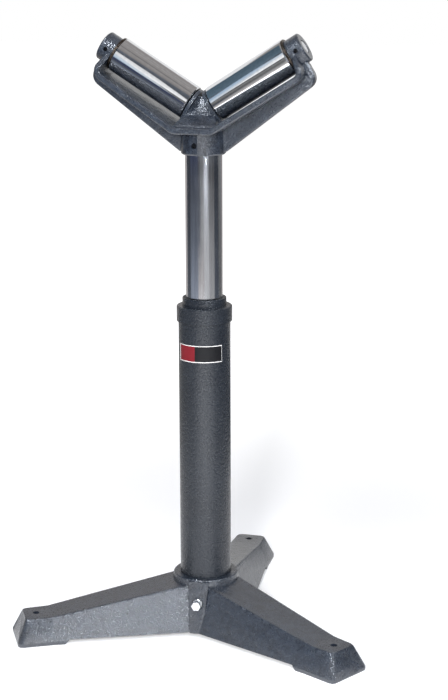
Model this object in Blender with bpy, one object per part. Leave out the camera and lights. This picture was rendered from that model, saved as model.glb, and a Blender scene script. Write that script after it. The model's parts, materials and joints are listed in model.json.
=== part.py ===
"""Pedestal stand with a V head and two rollers that carry pipe and round bar.

Metres, +Z up. The floor is z = 0 and the column stands on its own empty, set
back so that the world origin is under the middle of the stand. The head's V
lies in the XZ plane, one leg of the tripod points along +Y.
"""
import math

import bmesh
import bpy
from mathutils import Matrix, Vector

# Clearances
TOUCH = 0.0003          # between faces that rest on each other
SPIN_GAP = 0.0010       # between a turning face and a fixed one
CUT = 0.004             # how far a cutter runs past the face it opens

# Tripod casting
LEG_COUNT = 3
FOOT_REACH = 0.2930     # column axis to the outer end of a foot
FOOT_HEIGHT = 0.0380
FOOT_LEVEL = 0.0530     # level top, from the outer end to where the slope starts
FOOT_TIP_HALF = 0.0235  # half width of the top at its outer end
LEG_WIDEN = 0.041       # half width gained per metre towards the hub
LEG_TOP_AT_HUB = 0.0691
LEG_DRAFT = math.radians(22.5)
LEG_ROUND = 0.0020
LEG_OVERLAP = 0.0140    # how far a leg runs past the column axis
FOOT_BAND = 0.0050      # upright band round the foot
FOOT_CORNER = 0.0060
CASTING_WALL = 0.0075
PAD_INNER = 0.2290
PAD_RELIEF = 0.0070     # the leg's underside above the floor
RELIEF_SLOPE = 0.0060
FOOT_HOLE_SETBACK = 0.0320
FOOT_HOLE_RADIUS = 0.0050
FOOT_BOSS_WALL = 0.0080
HUB_WALL = 0.0113       # round the tube, at the shoulder
HUB_DRAFT = 0.0010
HUB_SHOULDER = 0.0735
HUB_LIP_WALL = 0.0090
HUB_LIP_TOP = 0.0805
HUB_LIP_ROUND = 0.0012
HUB_LEDGE = 0.0150      # the tube stands on this ledge
HUB_LEDGE_WIDTH = 0.0120
BOLT_TURN = math.radians(4.0)  # lock bolt off the middle of the front legs
BOLT_PAD_PROUD = 0.0121  # face of its leaning strip past the tube, at the top
BOLT_PAD_TOP = 0.0790
BOLT_PAD_LEAN = math.radians(18.5)
BOLT_PAD_HALF = 0.0155
BOLT_PAD_FOOT_HALF = 0.0090
BOLT_SEAT_RADIUS = 0.0085

# Outer tube and its collar
TUBE_RADIUS = 0.0384
TUBE_WALL = 0.0026
TUBE_TOP = 0.4700
COLLAR_PROUD = 0.0026
COLLAR_HEIGHT = 0.0230
COLLAR_ROUND = 0.0015
COLLAR_NECK_WALL = 0.0054
COLLAR_NECK_HEIGHT = 0.0120
COLLAR_MOUTH = 0.0040
COLLAR_PLUG = 0.0300

# Mast
MAST_STEP = 0.0114      # outer tube's radius less the mast's
MAST_WALL = 0.0040
MAST_SLIDE_GAP = 0.0003
MAST_FOOT = 0.2500
GUIDE_HEIGHT = 0.0120
GUIDE_FLANGE = 0.0030

# Head casting
VEE_ANGLE = math.radians(32.0)
VEE_APEX = 0.7739       # where the roller axes meet the column axis
BOSS_BOTTOM = 0.7134
BOSS_WALL = 0.0055
BOSS_ROUND = 0.0020
SOCKET_ROOF = 0.0070
FLOOR_DROP = 0.0300     # roller axis to the strap under it
STRAP_THICKNESS = 0.0090
EAR_THICKNESS = 0.0075
STRAP_CENTRE = 0.7550
STRAP_HALF_HUB = 0.0620
STRAP_HALF_EAR = 0.0390
STRAP_EDGE = 0.0018
BEND_RADIUS = 0.0120
EAR_CORNER_RADIUS = 0.0070
EAR_FACE = 0.1530       # along the roller axis from the apex
EAR_BOSS_RADIUS = 0.0215
EAR_BOSS_END = 0.1740
EAR_BOSS_ROUND = 0.0020
RIB_HALF = 0.0080
RIB_BOSS_PAST = 0.0015  # the rib starts this far outside the boss
RIB_BOSS_RISE = 0.0037
RIB_SLOPE = math.radians(37.0)
RIB_EAR_PROUD = 0.0063
RIB_CORNER = 0.0160
RIB_EAR_TOP = -0.0150
EAR_PAD = 0.0005        # machined face round the axle, proud of the ear
POST_FACE = 0.0200
POST_LIP = 0.0050
POST_RADIUS = 0.0245
POST_BORE_END = 0.0110
POST_OUTLINE = ((-0.0350, 0.0190), (-0.0300, 0.0175), (-0.0220, 0.0190), (-0.0130, 0.0225), (-0.0060, 0.0240))
WEB_OUTLINE = ((0.7500, 0.0500), (0.7580, 0.0440), (0.7630, 0.0330), (0.7700, 0.0230),
               (0.7780, 0.0160), (0.7880, 0.0110), (0.7960, 0.0080))

# Rollers, their bearings and axles
ROLLER_RADIUS = 0.0260
ROLLER_START = 0.0215
ROLLER_END = 0.1485
ROLLER_EDGE = 0.0012
ROLLER_BORE = 0.0220
AXLE_RADIUS = 0.0100
AXLE_INSET = 0.0005
BEARING_RADIUS = 0.0235
BEARING_WIDTH = 0.0140
RACE_INNER_WALL = 0.0037
RACE_OUTER_WALL = 0.0034
BALL_RADIUS = 0.0034
BALL_GAP = 0.0005
BALL_COUNT = 7
CAGE_HALF_THICK = 0.0009
CAGE_HALF_WIDTH = 0.0034
CAP_RECESS = 0.0004
CAP_THICKNESS = 0.0032
CAP_BORE = 0.0145
CAP_EDGE = 0.0006
SPACER_WALL = 0.0030
WASHER_RADIUS = 0.0250
WASHER_THICKNESS = 0.0033
WASHER_EDGE = 0.0005

# Screws
BASE_BOLT_HEIGHT = 0.0490
BASE_BOLT_RADIUS = 0.0040
BASE_BOLT_FLATS = 0.0130
BASE_BOLT_HEAD = 0.0053
BASE_BOLT_PROUD = 0.0062  # bare shank between the nut and the head
BASE_NUT_THICKNESS = 0.0040
BASE_NUT_TURN = math.radians(30.0)
HEX_EDGE = 0.0010
HEAD_SCREW_RADIUS = 0.0040
HEAD_SCREW_HEIGHT = 0.0140
HEAD_SCREW_AZIMUTH = math.radians(261.0)
HEAD_SCREW_RECESS = 0.0015
AXLE_SCREW_RADIUS = 0.0030
AXLE_SCREW_RECESS = 0.0040
THREAD_GAP = 0.0003
CLAMP_RADIUS = 0.0060
CLAMP_PAD_LENGTH = 0.0040
CLAMP_REACH = 0.0048    # collar to the clamp's hub
CLAMP_HUB_RADIUS = 0.0095
CLAMP_HUB_LENGTH = 0.0170
CLAMP_HUB_EDGE = 0.0012
LEVER_RADIUS = 0.0042
LEVER_LENGTH = 0.0640
LEVER_LEAN = math.radians(12.0)
KNOB_RADIUS = 0.0115
KNOB_NECK = 0.0065

# Mesh building, with the facets round a full turn
AXIS_MARK = 0.0300      # drawn size of an empty
SEAM = 0.00001          # vertices closer than this are sewn together
FACETS_LARGE = 32
FACETS_MEDIUM = 24
FACETS_SMALL = 18
FACETS_HOLE = 12
ARC_STEPS = 5

# Values worked out from the ones above
FOOT_BEND = FOOT_REACH - FOOT_LEVEL
FOOT_HOLE_REACH = FOOT_REACH - FOOT_HOLE_SETBACK
HUB_RADIUS = TUBE_RADIUS + HUB_WALL
HUB_LIP_RADIUS = TUBE_RADIUS + HUB_LIP_WALL
HUB_LEDGE_BORE = TUBE_RADIUS - HUB_LEDGE_WIDTH
TOP_SLOPE_RUN = FOOT_BEND - HUB_RADIUS
FOOT_TOP_REACH = FOOT_REACH - (FOOT_HEIGHT - FOOT_BAND) * math.tan(LEG_DRAFT)
COLLAR_RADIUS = TUBE_RADIUS + COLLAR_PROUD
MAST_RADIUS = TUBE_RADIUS - MAST_STEP
COLLAR_NECK_RADIUS = MAST_RADIUS + COLLAR_NECK_WALL
BOSS_RADIUS = MAST_RADIUS + BOSS_WALL
RIB_BOSS_X = BOSS_RADIUS + RIB_BOSS_PAST
RIB_BOSS_Z = BOSS_BOTTOM + RIB_BOSS_RISE
SOCKET_RADIUS = MAST_RADIUS + TOUCH
COLLAR_TOP = TUBE_TOP + COLLAR_HEIGHT + COLLAR_NECK_HEIGHT
MAST_TOP = STRAP_CENTRE - SOCKET_ROOF - TOUCH
COLLAR_BORE = MAST_RADIUS + MAST_SLIDE_GAP
CLAMP_HEIGHT = TUBE_TOP + COLLAR_HEIGHT / 2
CLAMP_HUB_START = COLLAR_RADIUS + CLAMP_REACH
AXLE_BORE = AXLE_RADIUS + TOUCH
BALL_PITCH = (AXLE_BORE + BEARING_RADIUS) / 2
EAR_BACK = EAR_FACE + EAR_THICKNESS
AXLE_START = POST_BORE_END + TOUCH
AXLE_END = EAR_BOSS_END - AXLE_INSET
EAR_SCREW_ALONG = (EAR_FACE + EAR_BOSS_END) / 2


def leg_top(reach):
    """Height of a leg's top face at a distance from the column axis."""
    if reach >= FOOT_BEND:
        return FOOT_HEIGHT
    rise = LEG_TOP_AT_HUB - FOOT_HEIGHT
    return FOOT_HEIGHT + rise * (FOOT_BEND - reach) / TOP_SLOPE_RUN


def leg_half(reach):
    """Half width of a leg's top face at a distance from the column axis."""
    return FOOT_TIP_HALF + LEG_WIDEN * (FOOT_TOP_REACH - reach)


def clear_scene():
    for item in list(bpy.data.objects):
        bpy.data.objects.remove(item, do_unlink=True)


def make_material(name, colour, roughness, metallic):
    material = bpy.data.materials.new(name)
    material.use_nodes = True
    shader = material.node_tree.nodes["Principled BSDF"]
    shader.inputs["Base Color"].default_value = (*colour, 1.0)
    shader.inputs["Roughness"].default_value = roughness
    shader.inputs["Metallic"].default_value = metallic
    material.diffuse_color = (*colour, 1.0)
    return material


def add_object(name, mesh, parent=None, location=(0, 0, 0), rotation=(0, 0, 0)):
    item = bpy.data.objects.new(name, mesh)
    bpy.context.scene.collection.objects.link(item)
    item.location = location
    item.rotation_euler = rotation
    item.parent = parent
    return item


def add_empty(name, parent=None, location=(0, 0, 0), rotation=(0, 0, 0)):
    empty = add_object(name, None, parent, location, rotation)
    empty.empty_display_size = AXIS_MARK
    return empty


def mesh_from(name, bm, smooth_angle=30.0):
    bmesh.ops.recalc_face_normals(bm, faces=bm.faces)
    mesh = bpy.data.meshes.new(name)
    bm.to_mesh(mesh)
    bm.free()
    mesh.shade_smooth()
    mesh.set_sharp_from_angle(angle=math.radians(smooth_angle))
    return mesh


def turned(name, profile, facets, axis="Z"):
    """Solid of revolution. A profile that starts and ends on the axis gets flat
    ends, any other one is a closed loop. Its points are (radius, height)."""
    solid = profile[0][0] == 0
    points = profile[1:-1] if solid else profile
    bm = bmesh.new()
    rings = []
    for radius, height in points:
        ring = []
        for step in range(facets):
            angle = 2 * math.pi * step / facets
            ring.append(bm.verts.new((radius * math.cos(angle), radius * math.sin(angle), height)))
        rings.append(ring)
    pairs = list(zip(rings, rings[1:]))
    if solid:
        bm.faces.new(rings[0])
        bm.faces.new(rings[-1])
    else:
        pairs.append((rings[-1], rings[0]))
    for lower, upper in pairs:
        for step in range(facets):
            after = (step + 1) % facets
            bm.faces.new((lower[step], lower[after], upper[after], upper[step]))
    if axis == "Y":
        bmesh.ops.rotate(bm, verts=bm.verts, matrix=Matrix.Rotation(-math.pi / 2, 3, "X"))
    return mesh_from(name, bm)


def rod(name, radius, start, end, facets, edge=0.0, axis="Z"):
    """Round bar between two heights, with an optional chamfer at both ends."""
    if edge:
        profile = [(0, start), (radius - edge, start), (radius, start + edge),
                   (radius, end - edge), (radius - edge, end), (0, end)]
    else:
        profile = [(0, start), (radius, start), (radius, end), (0, end)]
    return turned(name, profile, facets, axis)


def arc_points(centre, radius, start, end, steps=ARC_STEPS):
    points = []
    for step in range(steps + 1):
        angle = start + (end - start) * step / steps
        points.append((centre[0] + radius * math.cos(angle), centre[1] + radius * math.sin(angle)))
    return points


def loft(sections):
    """Closed skin through sections that all have the same number of points."""
    bm = bmesh.new()
    loops = [[bm.verts.new(point) for point in section] for section in sections]
    for lower, upper in zip(loops, loops[1:]):
        for index in range(len(lower)):
            after = (index + 1) % len(lower)
            bm.faces.new((lower[index], lower[after], upper[after], upper[index]))
    bm.faces.new(list(reversed(loops[0])))
    bm.faces.new(loops[-1])
    return bm


def flatten_faces(bm):
    """Split the four-sided faces, which may be bent, into flat ones."""
    bmesh.ops.triangulate(bm, faces=[face for face in bm.faces if len(face.verts) == 4])


def lofted(name, sections, smooth_angle=30.0):
    bm = loft(sections)
    flatten_faces(bm)
    return mesh_from(name, bm, smooth_angle)


def hexagon(name, flats, start, end, edge):
    """Hexagonal prism along Z whose end corners are turned off."""
    circle = flats / math.sqrt(3)
    sections = []
    for height, radius in ((start, circle - edge), (start + edge / 2, circle),
                           (end - edge / 2, circle), (end, circle - edge)):
        sections.append([(radius * math.cos(math.pi / 3 * side), radius * math.sin(math.pi / 3 * side), height)
                         for side in range(6)])
    return lofted(name, sections)


def add_tool(item, tool, operation):
    """Join a guide solid to an object or cut it away, and hide the guide."""
    tool.hide_render = True
    tool.display_type = "WIRE"
    modifier = item.modifiers.new(tool.name, "BOOLEAN")
    modifier.operation = operation
    modifier.solver = "EXACT"
    modifier.object = tool


def cut(item, mesh, parent, location=(0, 0, 0), rotation=(0, 0, 0)):
    add_tool(item, add_object("cut_" + mesh.name, mesh, parent, location, rotation), "DIFFERENCE")


def join(item, mesh, parent, location=(0, 0, 0), rotation=(0, 0, 0)):
    add_tool(item, add_object("form_" + mesh.name, mesh, parent, location, rotation), "UNION")


def finish(item, material):
    item.data.materials.clear()
    item.data.materials.append(material)
    return item


def leg_section(reach, top_half, top, bottom, inset, lean):
    """One cross section of a leg, from one lower corner over the top to the other."""
    draft = math.tan(LEG_DRAFT)
    band_half = top_half + (top - FOOT_BAND) * draft - inset
    top_half = top_half - inset
    shift = top - FOOT_BAND
    points = []
    for side in (-1, 1):
        edge = [(band_half, bottom), (band_half, FOOT_BAND)]
        for turn in range(3):
            along = turn / 2
            half = top_half - LEG_ROUND * along + LEG_ROUND * (1 - along) * draft
            edge.append((half, top - LEG_ROUND * (1 - along) ** 2))
        if side > 0:
            edge.reverse()
        points += [(side * half, height) for half, height in edge]
    return [(reach + lean * min(1.0, (top - height) / shift), half, height) for half, height in points]


def leg_sections(wall):
    """A leg along +X, drafted on every side. A wall gives the hollow's shape."""
    lean = FOOT_REACH - FOOT_TOP_REACH
    end = FOOT_TOP_REACH - wall
    inset = wall / math.cos(LEG_DRAFT)
    corner = FOOT_CORNER
    stations = [(-LEG_OVERLAP, 0.0), (FOOT_BEND, 0.0), (end - corner, 0.0), (end - corner * 0.3, corner * 0.3),
                (end, corner)]
    sections = []
    for reach, narrow in stations:
        slope = lean * max(0.0, (reach - FOOT_BEND) / (end - FOOT_BEND))
        sections.append(leg_section(reach, leg_half(reach) - narrow, leg_top(reach) - wall, 0.0, inset, slope))
    return sections


def column_setback():
    """How far the column stands behind the middle of the tripod."""
    tilt = math.pi / LEG_COUNT - math.pi / 6
    points = [point for section in leg_sections(0.0) for point in section]
    front = max(point[0] * math.sin(tilt) + point[1] * math.cos(tilt) for point in points)
    return (front - FOOT_REACH) / 2


def leg_shell():
    """One leg as an open-bottomed shell. Its inner end is left open."""
    bm = bmesh.new()
    outer = [[bm.verts.new(point) for point in section] for section in leg_sections(0.0)]
    inner = [[bm.verts.new(point) for point in section] for section in leg_sections(CASTING_WALL)]
    for skin in (outer, inner):
        for near, far in zip(skin, skin[1:]):
            for index in range(len(near) - 1):
                bm.faces.new((near[index], near[index + 1], far[index + 1], far[index]))
        bm.faces.new(skin[-1])
    for near, far in zip(range(len(outer)), range(1, len(outer))):
        for end in (0, -1):
            bm.faces.new((outer[near][end], outer[far][end], inner[far][end], inner[near][end]))
    bm.faces.new((outer[-1][0], outer[-1][-1], inner[-1][-1], inner[-1][0]))
    return bm


def star_mesh(name):
    """The legs, each cut off halfway to its neighbours, sewn into one shell."""
    leg = leg_shell()
    for side in (-1, 1):
        half_turn = side * math.pi / LEG_COUNT
        normal = (-side * math.sin(half_turn), side * math.cos(half_turn), 0)
        everything = leg.verts[:] + leg.edges[:] + leg.faces[:]
        bmesh.ops.bisect_plane(leg, geom=everything, plane_co=(0, 0, 0), plane_no=normal, clear_outer=True)
    wedge = bpy.data.meshes.new(name + "_wedge")
    leg.to_mesh(wedge)
    leg.free()
    star = bmesh.new()
    for azimuth in leg_azimuths():
        known = len(star.verts)
        star.from_mesh(wedge)
        star.verts.ensure_lookup_table()
        bmesh.ops.rotate(star, verts=star.verts[known:], matrix=Matrix.Rotation(azimuth, 3, "Z"))
    bpy.data.meshes.remove(wedge)
    bmesh.ops.remove_doubles(star, verts=star.verts, dist=SEAM)
    flatten_faces(star)
    return mesh_from(name, star, 25.0)


def leg_azimuths():
    return [math.pi / 2 + 2 * math.pi * index / LEG_COUNT for index in range(LEG_COUNT)]


def bolt_pad_face(height):
    """Distance of the leaning strip's face from the column axis."""
    return TUBE_RADIUS + BOLT_PAD_PROUD + (BOLT_PAD_TOP - height) * math.tan(BOLT_PAD_LEAN)


def bolt_seat():
    """Spot face for the lock bolt, just deep enough to be cut all round."""
    return bolt_pad_face(BASE_BOLT_HEIGHT + BOLT_SEAT_RADIUS)


def bolt_pad_mesh():
    """Leaning strip that fills the corner between the two front legs."""
    sections = []
    back = TUBE_RADIUS - HUB_LEDGE_WIDTH / 2
    for height, half in ((PAD_RELIEF / 2, BOLT_PAD_FOOT_HALF), (BOLT_PAD_TOP, BOLT_PAD_HALF)):
        face = bolt_pad_face(height)
        sections.append([(-half, -back, height), (-half, -face, height),
                         (half, -face, height), (half, -back, height)])
    return lofted("bolt_pad", sections)


def build_tripod(column, material):
    azimuths = leg_azimuths()
    base = add_object("tripod_base", star_mesh("tripod_base"), column)
    hub_foot = PAD_RELIEF / 2
    lip = [(0, hub_foot), (HUB_RADIUS + HUB_DRAFT, hub_foot), (HUB_RADIUS, HUB_SHOULDER),
           (HUB_LIP_RADIUS + HUB_LIP_ROUND, HUB_LIP_TOP - HUB_LIP_ROUND),
           (HUB_LIP_RADIUS, HUB_LIP_TOP), (0, HUB_LIP_TOP)]
    join(base, turned("hub", lip, FACETS_LARGE), column)
    join(base, bolt_pad_mesh(), column, (0, 0, 0), (0, 0, BOLT_TURN))
    foot_boss = FOOT_HOLE_RADIUS + FOOT_BOSS_WALL
    post = rod("foot_boss", foot_boss, 0, FOOT_HEIGHT - CASTING_WALL / 2, FACETS_HOLE)
    hole = rod("foot_hole", FOOT_HOLE_RADIUS, -CUT, FOOT_HEIGHT + CUT, FACETS_HOLE)
    for azimuth in azimuths:
        place = (FOOT_HOLE_REACH * math.cos(azimuth), FOOT_HOLE_REACH * math.sin(azimuth), 0)
        join(base, post, column, place)
        cut(base, hole, column, place)
    relief_edge = PAD_INNER + RELIEF_SLOPE * CUT / PAD_RELIEF
    relief = [(0, -CUT), (relief_edge, -CUT), (PAD_INNER - RELIEF_SLOPE, PAD_RELIEF), (0, PAD_RELIEF)]
    cut(base, turned("relief", relief, FACETS_LARGE), column)
    cut(base, rod("hub_bore", HUB_LEDGE_BORE, -CUT, HUB_LIP_TOP + CUT, FACETS_MEDIUM), column)
    socket = TUBE_RADIUS + TOUCH
    cut(base, rod("hub_socket", socket, HUB_LEDGE, HUB_LIP_TOP + CUT, FACETS_LARGE), column)
    seat = bolt_seat()
    seat_face = rod("bolt_seat", BOLT_SEAT_RADIUS, seat, bolt_pad_face(0) + CUT, FACETS_SMALL, axis="Y")
    bolt_hole = rod("bolt_hole", BASE_BOLT_RADIUS + THREAD_GAP, TUBE_RADIUS - CUT, seat + CUT,
                    FACETS_HOLE, axis="Y")
    for tool in (seat_face, bolt_hole):
        cut(base, tool, column, (0, 0, BASE_BOLT_HEIGHT), (0, 0, math.pi + BOLT_TURN))
    return finish(base, material)


def build_base_bolt(column, zinc):
    seat = bolt_seat() + TOUCH
    head = seat + BASE_NUT_THICKNESS + BASE_BOLT_PROUD
    axis = add_empty("base_bolt_axis", column, (0, 0, BASE_BOLT_HEIGHT), (math.pi / 2, 0, BOLT_TURN))
    bolt = add_object("base_lock_bolt", hexagon("base_lock_bolt", BASE_BOLT_FLATS, head, head + BASE_BOLT_HEAD,
                                                HEX_EDGE), axis)
    shank = rod("bolt_shank", BASE_BOLT_RADIUS, TUBE_RADIUS + TOUCH, head + BASE_BOLT_HEAD / 2, FACETS_HOLE)
    join(bolt, shank, axis)
    nut = add_object("base_lock_nut", hexagon("base_lock_nut", BASE_BOLT_FLATS, seat, seat + BASE_NUT_THICKNESS,
                                              HEX_EDGE), axis, rotation=(0, 0, BASE_NUT_TURN))
    bore = rod("nut_bore", BASE_BOLT_RADIUS + THREAD_GAP, seat - CUT, head + CUT, FACETS_HOLE)
    cut(nut, bore, axis)
    finish(bolt, zinc)
    finish(nut, zinc)


def build_outer_tube(column, paint):
    inner = TUBE_RADIUS - TUBE_WALL
    bottom = HUB_LEDGE + TOUCH
    top = TUBE_TOP - TOUCH
    profile = [(inner, bottom), (TUBE_RADIUS, bottom), (TUBE_RADIUS, top), (inner, top)]
    finish(add_object("outer_tube", turned("outer_tube", profile, FACETS_LARGE), column), paint)


def build_collar(column, paint):
    plug = TUBE_RADIUS - TUBE_WALL - TOUCH
    shoulder = TUBE_TOP + COLLAR_HEIGHT
    profile = [(COLLAR_BORE, TUBE_TOP - COLLAR_PLUG), (plug, TUBE_TOP - COLLAR_PLUG), (plug, TUBE_TOP),
               (COLLAR_RADIUS, TUBE_TOP), (COLLAR_RADIUS, shoulder - COLLAR_ROUND),
               (COLLAR_RADIUS - COLLAR_ROUND, shoulder), (COLLAR_NECK_RADIUS, shoulder),
               (COLLAR_NECK_RADIUS, COLLAR_TOP - COLLAR_ROUND / 2),
               (COLLAR_NECK_RADIUS - COLLAR_ROUND / 2, COLLAR_TOP),
               (COLLAR_BORE + COLLAR_MOUTH, COLLAR_TOP), (COLLAR_BORE, COLLAR_TOP - COLLAR_MOUTH)]
    collar = add_object("tube_collar", turned("tube_collar", profile, FACETS_LARGE), column)
    hole = rod("clamp_hole", CLAMP_RADIUS + THREAD_GAP, COLLAR_BORE - CUT, COLLAR_RADIUS + CUT,
               FACETS_HOLE, axis="Y")
    cut(collar, hole, column, (0, 0, CLAMP_HEIGHT))
    finish(collar, paint)


def build_clamp(column, brass, steel, plastic):
    """Screw in the back of the collar with its pressure pad, lever and ball."""
    axis = add_empty("clamp_axis", column, (0, 0, CLAMP_HEIGHT))
    pad_start = MAST_RADIUS + TOUCH
    screw_start = pad_start + CLAMP_PAD_LENGTH + TOUCH
    pad = rod("clamp_pad", CLAMP_RADIUS - THREAD_GAP, pad_start, pad_start + CLAMP_PAD_LENGTH, FACETS_SMALL,
              HEX_EDGE / 2, "Y")
    finish(add_object("clamp_pad", pad, axis), brass)
    hub_end = CLAMP_HUB_START + CLAMP_HUB_LENGTH
    profile = [(0, screw_start), (CLAMP_RADIUS, screw_start), (CLAMP_RADIUS, CLAMP_HUB_START),
               (CLAMP_HUB_RADIUS - CLAMP_HUB_EDGE, CLAMP_HUB_START),
               (CLAMP_HUB_RADIUS, CLAMP_HUB_START + CLAMP_HUB_EDGE),
               (CLAMP_HUB_RADIUS, hub_end - CLAMP_HUB_EDGE), (CLAMP_HUB_RADIUS - CLAMP_HUB_EDGE, hub_end),
               (0, hub_end)]
    screw = add_object("clamp_screw", turned("clamp_screw", profile, FACETS_SMALL, "Y"), axis)
    hub_middle = CLAMP_HUB_START + CLAMP_HUB_LENGTH / 2
    lean = math.pi - LEVER_LEAN
    arm_axis = add_empty("lever_axis", axis, (0, hub_middle, 0), (-lean, 0, 0))
    arm_end = CLAMP_HUB_RADIUS + LEVER_LENGTH
    socket = rod("lever_hole", LEVER_RADIUS + THREAD_GAP, 0, CLAMP_HUB_RADIUS + CUT, FACETS_HOLE)
    cut(screw, socket, arm_axis)
    arm = rod("clamp_lever", LEVER_RADIUS, TOUCH, arm_end, FACETS_HOLE, HEX_EDGE / 2)
    lever = add_object("clamp_lever", arm, arm_axis)
    knob_centre = arm_end + KNOB_RADIUS * 0.2
    knob_start = knob_centre - KNOB_RADIUS * math.cos(math.asin(KNOB_NECK / KNOB_RADIUS))
    start = math.asin(KNOB_NECK / KNOB_RADIUS)
    stop = math.radians(170)
    ball = [(0, knob_start)]
    for step in range(ARC_STEPS + 3):
        angle = start + (stop - start) * step / (ARC_STEPS + 2)
        ball.append((KNOB_RADIUS * math.sin(angle), knob_centre - KNOB_RADIUS * math.cos(angle)))
    ball.append((0, ball[-1][1]))
    knob = add_object("clamp_knob", turned("clamp_knob", ball, FACETS_SMALL), arm_axis)
    knob_hole = rod("knob_hole", LEVER_RADIUS + THREAD_GAP, knob_start - CUT, arm_end + TOUCH, FACETS_HOLE)
    cut(knob, knob_hole, arm_axis)
    finish(screw, steel)
    finish(lever, steel)
    finish(knob, plastic)


def build_mast(column, steel, plastic):
    axis = add_empty("mast_axis", column)
    inner = MAST_RADIUS - MAST_WALL
    edge = TUBE_WALL / 4
    profile = [(inner, MAST_FOOT), (MAST_RADIUS - edge, MAST_FOOT), (MAST_RADIUS, MAST_FOOT + edge),
               (MAST_RADIUS, MAST_TOP - edge), (MAST_RADIUS - edge, MAST_TOP), (inner, MAST_TOP)]
    finish(add_object("mast_tube", turned("mast_tube", profile, FACETS_LARGE), axis), steel)
    outer = TUBE_RADIUS - TUBE_WALL - MAST_SLIDE_GAP
    bore = MAST_RADIUS + TOUCH
    low = MAST_FOOT - TOUCH
    guide = [(inner, low - GUIDE_FLANGE), (outer, low - GUIDE_FLANGE), (outer, MAST_FOOT + GUIDE_HEIGHT),
             (bore, MAST_FOOT + GUIDE_HEIGHT), (bore, low), (inner, low)]
    finish(add_object("mast_guide", turned("mast_guide", guide, FACETS_MEDIUM), axis), plastic)


def along_arm(side, along, above):
    """Point in the V's plane, given along a roller axis and square to it."""
    sine, cosine = math.sin(VEE_ANGLE), math.cos(VEE_ANGLE)
    return side * (along * cosine - above * sine), VEE_APEX + along * sine + above * cosine


def strap_stations():
    """Stations of the right half: inner point, outer point and half width."""
    lean = VEE_ANGLE
    half_turn = math.tan(lean / 2)
    floor_rise = FLOOR_DROP / math.cos(lean)
    bend_x = (STRAP_CENTRE - VEE_APEX + floor_rise) / math.tan(lean)
    stations = [((0.0, STRAP_CENTRE), (0.0, STRAP_CENTRE - STRAP_THICKNESS), STRAP_HALF_HUB)]
    start = bend_x - BEND_RADIUS * half_turn
    for step in range(ARC_STEPS + 1):
        turn = lean * step / ARC_STEPS
        centre = (start, STRAP_CENTRE + BEND_RADIUS)
        inner = (centre[0] + BEND_RADIUS * math.sin(turn), centre[1] - BEND_RADIUS * math.cos(turn))
        outer_radius = BEND_RADIUS + STRAP_THICKNESS
        outer = (centre[0] + outer_radius * math.sin(turn), centre[1] - outer_radius * math.cos(turn))
        stations.append((inner, outer, STRAP_HALF_HUB))
    corner = (EAR_FACE - EAR_CORNER_RADIUS, -FLOOR_DROP + EAR_CORNER_RADIUS)
    for step in range(ARC_STEPS + 1):
        turn = math.pi / 2 * step / ARC_STEPS
        along, above = math.sin(turn), -math.cos(turn)
        inner = along_arm(1, corner[0] + EAR_CORNER_RADIUS * along, corner[1] + EAR_CORNER_RADIUS * above)
        far_along = EAR_CORNER_RADIUS + EAR_THICKNESS
        far_above = EAR_CORNER_RADIUS + STRAP_THICKNESS
        outer = along_arm(1, corner[0] + far_along * along, corner[1] + far_above * above)
        stations.append((inner, outer, STRAP_HALF_EAR))
    shoulder = -EAR_BOSS_RADIUS * 0.25
    for above, half in ((shoulder, EAR_BOSS_RADIUS), (EAR_BOSS_RADIUS * 0.3, EAR_BOSS_RADIUS * 0.9)):
        inner = along_arm(1, EAR_FACE, above)
        outer = along_arm(1, EAR_BACK, above)
        stations.append((inner, outer, half))
    return stations


def strap_section(inner, outer, half, edge):
    """Cross section of the strap: a flat bar with its long edges chamfered."""
    near = Vector(inner)
    far = Vector(outer)
    step = (far - near).normalized() * edge
    ring = []
    for point, depth in ((near, half - edge), (near + step, half), (far - step, half), (far, half - edge)):
        ring.append((point.x, -depth, point.y))
    for point, depth in ((far, half - edge), (far - step, half), (near + step, half), (near, half - edge)):
        ring.append((point.x, depth, point.y))
    return ring


def strap_mesh():
    right = strap_stations()
    left = [((-inner[0], inner[1]), (-outer[0], outer[1]), half) for inner, outer, half in reversed(right[1:])]
    sections = [strap_section(*station, STRAP_EDGE) for station in left + right]
    return lofted("head_casting", sections, 25.0)


def rib_outline():
    """Right half of the rib under the strap, from the boss out to the ear."""
    middle = STRAP_THICKNESS / 2
    ear_along = EAR_BACK + RIB_EAR_PROUD
    corner_start = Vector((RIB_BOSS_X, RIB_BOSS_Z))
    low_line = Vector((math.cos(RIB_SLOPE), math.sin(RIB_SLOPE)))
    ear_point = Vector(along_arm(1, ear_along, 0))
    ear_line = Vector((-math.sin(VEE_ANGLE), math.cos(VEE_ANGLE)))
    offset = ear_point - corner_start
    reach = (offset.x * ear_line.y - offset.y * ear_line.x) / (low_line.x * ear_line.y - low_line.y * ear_line.x)
    corner = corner_start + low_line * reach
    turn = math.acos(max(-1.0, min(1.0, low_line.dot(ear_line))))
    setback = RIB_CORNER * math.tan(turn / 2)
    centre = corner - low_line * setback + Vector((-low_line.y, low_line.x)) * RIB_CORNER
    start_angle = RIB_SLOPE - math.pi / 2
    outer = [tuple(corner_start)]
    outer += arc_points(centre, RIB_CORNER, start_angle, start_angle + turn)
    outer.append(along_arm(1, ear_along, RIB_EAR_TOP))
    inner = [along_arm(1, EAR_FACE + EAR_THICKNESS / 2, RIB_EAR_TOP),
             along_arm(1, EAR_FACE + EAR_THICKNESS / 2, -FLOOR_DROP - middle)]
    rise = (FLOOR_DROP + middle) / math.cos(VEE_ANGLE)
    bend_x = (STRAP_CENTRE - middle - VEE_APEX + rise) / math.tan(VEE_ANGLE)
    inner.append((bend_x, STRAP_CENTRE - middle))
    return outer + inner


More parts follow.
